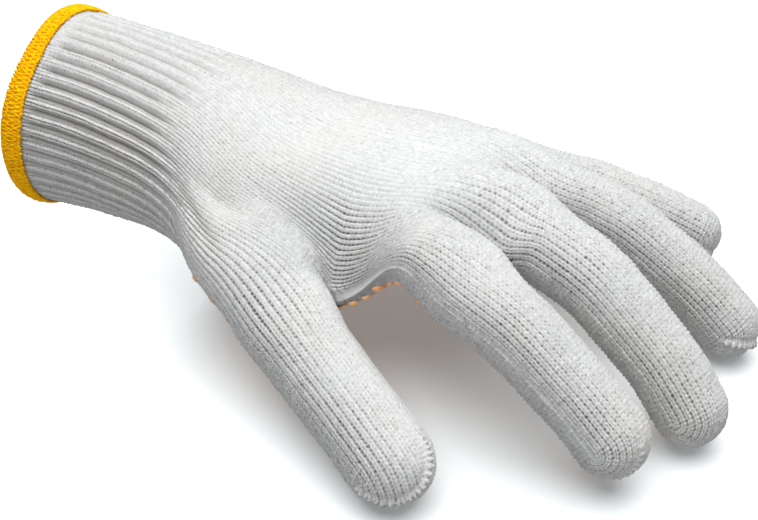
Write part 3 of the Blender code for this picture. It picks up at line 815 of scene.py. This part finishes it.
def overlock_yarn():
    """Bulked polyester yarn, dyed yellow: crimped filaments with a dull, slightly silky surface."""
    material, tree, shader = blank("yellow_bulked_polyester_yarn")
    place = add(tree, "ShaderNodeTexCoord").outputs["Object"]
    crimp = add(tree, "ShaderNodeTexNoise",
                {"Vector": place, "Scale": CRIMP, "Detail": 3.0, "Roughness": 0.6}).outputs["Fac"]
    ramp = add(tree, "ShaderNodeValToRGB", {"Fac": crimp})
    for stop, position, code in zip(ramp.color_ramp.elements, (0.32, 0.62), ("#EE9C00", "#FFCE05")):
        stop.position, stop.color = position, srgb(code)
    patch = add(tree, "ShaderNodeTexNoise", {"Vector": place, "Scale": DYE_PATCH, "Detail": 2.0})
    shade = add(tree, "ShaderNodeMapRange",
                {"Value": patch.outputs["Fac"], "From Min": 0.4, "From Max": 0.7, "To Max": 0.35}).outputs[0]
    colour = add(tree, "ShaderNodeMix", {"Factor": shade, "A": ramp.outputs["Color"], "B": srgb("#FFBE00")},
                 data_type="RGBA").outputs["Result"]
    tree.links.new(colour, shader.inputs["Base Color"])
    bump = add(tree, "ShaderNodeBump", {"Height": crimp, "Strength": 0.9, "Distance": 0.0005})
    tree.links.new(bump.outputs["Normal"], shader.inputs["Normal"])
    shader.inputs["Roughness"].default_value = 0.85
    shader.inputs["Specular IOR Level"].default_value = 0.12
    return material


def plastisol():
    """Soft PVC plastisol, screen printed and fused in an oven: rubbery, a little glossy."""
    material, tree, shader = blank("orange_pvc_plastisol")
    place = add(tree, "ShaderNodeTexCoord").outputs["Object"]
    mottle = add(tree, "ShaderNodeTexNoise",
                 {"Vector": place, "Scale": DOT_MOTTLE, "Detail": 2.0}).outputs["Fac"]
    colour = add(tree, "ShaderNodeMix", {"Factor": mottle, "A": srgb("#E39A58"), "B": srgb("#F6C898")},
                 data_type="RGBA").outputs["Result"]
    tree.links.new(colour, shader.inputs["Base Color"])
    bump = add(tree, "ShaderNodeBump", {"Height": mottle, "Strength": 0.3, "Distance": 0.0003})
    tree.links.new(bump.outputs["Normal"], shader.inputs["Normal"])
    shader.inputs["Roughness"].default_value = 0.45
    shader.inputs["IOR"].default_value = 1.53
    shader.inputs["Subsurface Weight"].default_value = 0.1
    shader.inputs["Subsurface Scale"].default_value = 0.001
    return material


# the last colour of each is the painted shade of the holes between and within the wales
COTTON = cotton_knit("bleached_cotton_knit", ("#DADCDD", "#EDEEEE", "#E8E5E0"), "#777069", 0.9)
INSIDE = cotton_knit("cotton_knit_inside", ("#D3D2CE", "#E6E5E1", "#DCD8D0"), "#7A736B", 0.7)
YELLOW = overlock_yarn()
ORANGE = plastisol()


# knitted pieces
def rows_between(low, high, courses, rows=ROWS_PER_COURSE):
    """Row stations for knit_piece: low and high are functions of (i, share)."""
    def stations(i, share):
        a, b = low(i, share), high(i, share)
        step = (b - a) / (courses * rows)
        k = np.arange(-1, courses * rows + 2)[:, None]
        return a[None, :] + step[None, :] * k
    return stations


def flat(metres):
    return lambda i, share: np.full_like(share, metres / PALM_LENGTH)


def tip_station(i, share):
    return np.full_like(share, tip_of(i))


def rows_to_tip(i, share):
    a, b = fork_station(i, share), tip_station(i, share)
    count = int(round(float(np.mean(b - a)) * PALM_LENGTH / COURSE)) * ROWS_PER_COURSE
    step = (b - a) / count
    return a[None, :] + step[None, :] * np.arange(-1, count + 1)[:, None]


FORK_LINE = THUMB_FORK * PALM_LENGTH
cuff = knit_piece("rib_cuff_knit", ALL, rows_between(flat(0.0040), flat(CUFF_LENGTH), 46), COTTON)
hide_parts("rib_cuff")
heel = knit_piece("lower_palm_knit", ALL, rows_between(flat(CUFF_LENGTH), flat(FORK_LINE), 42), COTTON)
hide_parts("lower_palm")
palm = knit_piece("upper_palm_knit", ALL[1:], rows_between(flat(FORK_LINE), fork_station, 31), COTTON)
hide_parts("upper_palm")
shells = [cuff, heel, palm]
for i, name in enumerate(NAMES):
    finger = knit_piece(name + "_knit", (i,), rows_to_tip, COTTON, dome=True)
    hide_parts(name if i == 0 else name + "_finger")
    shells.append(finger)

# the inside, coarser because only the cuff's mouth shows it
for name, fingers, stations, inset, relief in (
        ("cuff_inside", ALL, rows_between(flat(0.0012), flat(CUFF_LENGTH), 20, 1), 0.0021, True),
        ("lower_palm_inside", ALL, rows_between(flat(CUFF_LENGTH), flat(FORK_LINE), 16, 1), 0.0027, False),
        ("upper_palm_inside", ALL[1:], rows_between(flat(FORK_LINE), fork_station, 12, 1), WALL, False)):
    shells.append(knit_piece(name, fingers, stations, INSIDE, inset=inset, across=ONCE_A_WALE, relief=relief))
for i, name in enumerate(NAMES):
    shells.append(knit_piece(name + "_inside", (i,), rows_to_tip, INSIDE, dome=True, inset=WALL,
                             across=ONCE_A_WALE, relief=False))
for piece in shells:
    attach(piece, "root")


# overlocked edge
LOOPS = 150
LOOP_BEADS = 25
LOOP_YARN = 0.00036      # radius
CHAIN_YARN = 0.00034
YARN_SIDES = 5
CHAIN_STEPS = 6          # points to each stitch of the chain
BED_COLUMNS = 360
# sections round the cut edge in millimetres: along the cuff from its edge, and out from the knit
BED = ((6.9, 0.10), (6.5, 0.60), (4.6, 0.85), (2.0, 0.85), (0.6, 0.45), (0.2, -0.3), (0.2, -1.2), (0.6, -2.0),
       (2.0, -2.40), (4.6, -2.45), (6.5, -2.20), (6.9, -1.65))
LAY = ((7.1, 0.55), (5.4, 0.95), (3.6, 1.05), (1.8, 1.00), (0.45, 0.60), (0.05, -0.2), (0.05, -1.3),
       (0.45, -2.10), (1.8, -2.55), (3.6, -2.65), (5.4, -2.55), (7.1, -2.15))
CHAIN_LINE = 6.75


def narrowed(turn):
    """The edging covers 7 mm at the sides and 5 mm over the back and the palm."""
    return 1 - 0.26 * np.sin(2 * np.pi * turn) ** 2


def edging():
    """Three-thread overlock: a dense bed of yarn, loops wrapped over the edge and a chain along each side."""
    turn = np.linspace(0, 1, BED_COLUMNS + 1)[:-1]
    rings = []
    for k, (x, out) in enumerate(BED):
        wobble = 0.00012 * (scatter(np.arange(BED_COLUMNS), k, 4) - 0.5)
        rings.append(cuff_point(turn, x * 0.001 / PALM_LENGTH * narrowed(turn), out * 0.001 + wobble))
    quads = wrapped_quads(len(BED), BED_COLUMNS)[:, ::-1]
    pieces = [mesh_from("edging_bed", np.stack(rings).reshape(-1, 3), quads, YELLOW)]

    # loops over the edge, crimped so that they show as small beads
    lay = np.array(LAY)
    steps = np.linspace(0, 1, LOOP_BEADS)
    along = steps * (len(lay) - 1)
    lay_x, lay_out = (np.interp(along, np.arange(len(lay)), lay[:, c]) for c in (0, 1))
    edge = ease((lay_x - 0.2) / 1.5)
    bead = np.arange(LOOP_BEADS)
    paths = []
    for k in range(LOOPS):
        for way in (-1, 1):
            jitter = scatter(k, way, 2) - 0.5
            slant = way * 1.5 * np.sin(np.pi * steps) / LOOPS
            loose_way = 0.35 * (scatter(k, bead, way + 3) - 0.5) / LOOPS
            turns = (k + 0.5 * (way > 0) + 0.4 * jitter) / LOOPS + slant + loose_way * edge
            crimp = 0.00016 * np.sin(np.pi * bead + k) + 0.00030 * (scatter(k, bead, way) - 0.5)
            out = lay_out * 0.001 + np.where(lay_out > -0.8, 1, -1) * crimp * (0.25 + 0.75 * edge)
            x = lay_x * 0.001 * (1 + 0.10 * jitter)
            paths.append(cuff_point(turns, x / PALM_LENGTH * narrowed(turns), out))
    pieces.append(tubes("edging_loops", np.array(paths), LOOP_YARN, YELLOW, sides=YARN_SIDES))

    # one chain outside and one inside the cuff
    k = np.arange(LOOPS * CHAIN_STEPS)
    turn = k / len(k)
    phase = 2 * np.pi * k / CHAIN_STEPS
    chains = []
    for out, way in ((0.75, 1), (-2.35, -1)):
        x = (CHAIN_LINE + 0.40 * np.sin(phase) + 0.5 * (scatter(k // 3, way, 6) - 0.5)) * 0.001
        rise = (out + way * 0.2 * np.cos(2 * phase)) * 0.001
        chains.append(cuff_point(turn, x / PALM_LENGTH * narrowed(turn), rise))
    pieces.append(tubes("edging_chain", np.array(chains), CHAIN_YARN, YELLOW, sides=YARN_SIDES, closed=True))
    for piece in pieces:
        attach(piece, "root")
    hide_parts("cuff_edging")


edging()


# grip dots
DOT_RADIUS = 0.00140
DOT_HEIGHT = 0.00085
DOT_ROW = 0.0038         # metres from row to row
DOT_WALES = 2.62         # wales from dot to dot, every other row set over by half of it
DOT_RINGS, DOT_SIDES = 4, 9
FIRST_DOTS = 0.525       # station of the first row


def bare_margins(i, station, beyond):
    """Shares of finger i's front that stay bare on its thumb's side and on its other side."""
    if i == 0:
        return 0.15 + 0.27 * beyond, 0.34 * beyond
    if i == 1:
        return 0.30 * ease((station - 0.60) / 0.12) + 0.14 * beyond, 0.30 * beyond
    return 0.45 * beyond, max(0.28 * beyond, 0.12 if i == 4 else 0.0)


def dot_places():
    """Finger, share and station of each dot."""
    for i in ALL:
        tip = tip_of(i)
        for r, station in enumerate(np.arange(FIRST_DOTS, tip + 0.03, DOT_ROW / PALM_LENGTH)):
            for k in range(int(WALES[i] / DOT_WALES) + 1):
                wale = 1.2 + DOT_WALES * k + (DOT_WALES / 2 if r % 2 else 0.0)
                share = wale / WALES[i]
                past_fork = station - float(fork_station(i, np.array([share]))[0])
                low, high = bare_margins(i, station, ease((past_fork + 0.02) / 0.06))
                in_fork = i > 0 and 0 < past_fork < 0.03
                if wale <= WALES[i] - 0.5 and low <= share <= 1 - high and not in_fork:
                    yield i, share, min(station, tip)


def grip_dots():
    """Domes of soft PVC, 2.8 mm across and about 4 mm apart, on the palm side only."""
    spots, normals, alongs = [], [], []
    e = 0.004
    for i, share, station in dot_places():
        s, t = np.array([share]), np.array([station])
        mid = skin(i, s, t)[1][0]
        ds = skin(i, s + e, t)[1][0] - skin(i, s - e, t)[1][0]
        dt = skin(i, s, t + e)[1][0] - skin(i, s, t - e)[1][0]
        n = unit(np.cross(ds, dt))
        spots.append(mid + n * 0.0001)
        normals.append(n)
        alongs.append(unit(dt))
    spots, normals, alongs = (np.array(rows) for rows in (spots, normals, alongs))
    sides = np.cross(normals, alongs)
    number = np.arange(len(spots))
    radius = DOT_RADIUS * (0.9 + 0.2 * scatter(number, 5, 1))
    height = DOT_HEIGHT * (0.85 + 0.3 * scatter(number, 9, 2))
    lift = np.radians(np.linspace(-12, 90, DOT_RINGS))
    angle = 2 * np.pi * np.arange(DOT_SIDES) / DOT_SIDES
    dome = np.stack([np.outer(np.cos(lift), np.cos(angle)), np.outer(np.cos(lift), np.sin(angle)),
                     np.outer(np.sin(lift), np.ones(DOT_SIDES))], -1).reshape(-1, 3)
    across = dome[None, :, 0:1] * alongs[:, None, :] + dome[None, :, 1:2] * sides[:, None, :]
    points = (spots[:, None, :] + radius[:, None, None] * across
              + height[:, None, None] * dome[None, :, 2:3] * normals[:, None, :])
    one = wrapped_quads(DOT_RINGS, DOT_SIDES)[:, ::-1]
    quads = (one[None] + (number * DOT_RINGS * DOT_SIDES)[:, None, None]).reshape(-1, 4)
    dots = mesh_from("palm_grip_dots", points.reshape(-1, 3), quads, ORANGE)
    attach(dots, "root")


grip_dots()


# stage
PAPER_REACH = 4
AIMED_AT = Vector((0.10, -0.01, -0.02))
# how far the camera looks past the glove's middle, and its focal length, in pixels of the photo
PIXELS_RIGHT, PIXELS_DOWN, FOCAL_PIXELS = 19, 10, 1783


def stage():
    floor_level = float(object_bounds()[0][2]) - 0.0002
    white, tree, shader = blank("studio_floor_paper")
    shader.inputs["Base Color"].default_value = srgb("#F6FAFC")
    shader.inputs["Roughness"].default_value = 0.9
    shader.inputs["Specular IOR Level"].default_value = 0.1
    mesh = bpy.data.meshes.new("studio_floor")
    signs = ((-1, -1), (1, -1), (1, 1), (-1, 1))
    corners = [(x * PAPER_REACH, y * PAPER_REACH, floor_level) for x, y in signs]
    mesh.from_pydata(corners, [], [(0, 1, 2, 3)])
    mesh.materials.append(white)
    floor = bpy.data.objects.new("studio_floor", mesh)
    bpy.context.scene.collection.objects.link(floor)
    # the glove's underside gets the room's even light, and not the bright paper's
    floor.visible_diffuse = False
    floor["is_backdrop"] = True

    world = bpy.context.scene.world or bpy.data.worlds.new("studio")
    bpy.context.scene.world = world
    world.use_nodes = True
    bpy.context.scene.view_settings.view_transform = "Standard"
    background = world.node_tree.nodes["Background"]
    background.inputs["Color"].default_value = srgb("#FFFFFF")
    background.inputs["Strength"].default_value = 0.50

    only_floor = bpy.data.collections.new("lit_by_the_ceiling")
    only_floor.objects.link(floor)
    only_glove = bpy.data.collections.new("lit_by_the_softbox")
    for piece in bpy.context.scene.objects:
        if piece.type == "MESH" and piece != floor:
            only_glove.objects.link(piece)
    # a ceiling of light over the paper gives the soft shadow, a softbox over the glove gives its shading
    for name, place, size, power, lit in (
            ("overhead_softbox", (0.20, 0.08, 0.92), 0.80, 8.5, only_glove),
            ("front_fill", (0.32, -0.60, 0.78), 0.60, 2.8, only_glove),
            ("ceiling_panel", (0.10, 0.00, 1.40), 2.20, 36.0, only_floor)):
        light = bpy.data.lights.new(name, "AREA")
        light.shape, light.size, light.energy = "DISK", size, power
        lamp = bpy.data.objects.new(name, light)
        lamp.location = place
        lamp.rotation_euler = (AIMED_AT - Vector(place)).to_track_quat("-Z", "Y").to_euler()
        bpy.context.scene.collection.objects.link(lamp)
        lamp.light_linking.receiver_collection = lit
    # only the hand, which is near the paper, throws the ceiling's shadow
    near_paper = bpy.data.collections.new("hand_over_the_paper")
    for piece in only_glove.objects:
        if piece.name.startswith(NAMES + ("upper_palm", "lower_palm")):
            near_paper.objects.link(piece)
    lamp.light_linking.blocker_collection = near_paper


def camera():
    azimuth, elevation, distance = math.radians(29.4), math.radians(35.5), 0.490
    right = Vector((math.cos(azimuth), math.sin(azimuth), 0.0))
    level = Vector((math.sin(azimuth), -math.cos(azimuth), 0.0))
    back = level * math.cos(elevation) + Vector((0.0, 0.0, math.sin(elevation)))
    up = back.cross(right)
    eye = Vector((0.100, 0.0, -0.0185)) + back * distance
    gaze = -back + right * (PIXELS_RIGHT / FOCAL_PIXELS) - up * (PIXELS_DOWN / FOCAL_PIXELS)
    data = bpy.data.cameras.new("camera")
    data.sensor_fit = "HORIZONTAL"
    data.angle = math.radians(24.0)
    data.clip_start = 0.01
    view = bpy.data.objects.new("camera", data)
    view.location = eye
    view.rotation_euler = gaze.to_track_quat("-Z", "Y").to_euler()
    bpy.context.scene.collection.objects.link(view)
    bpy.context.scene.camera = view


stage()
camera()
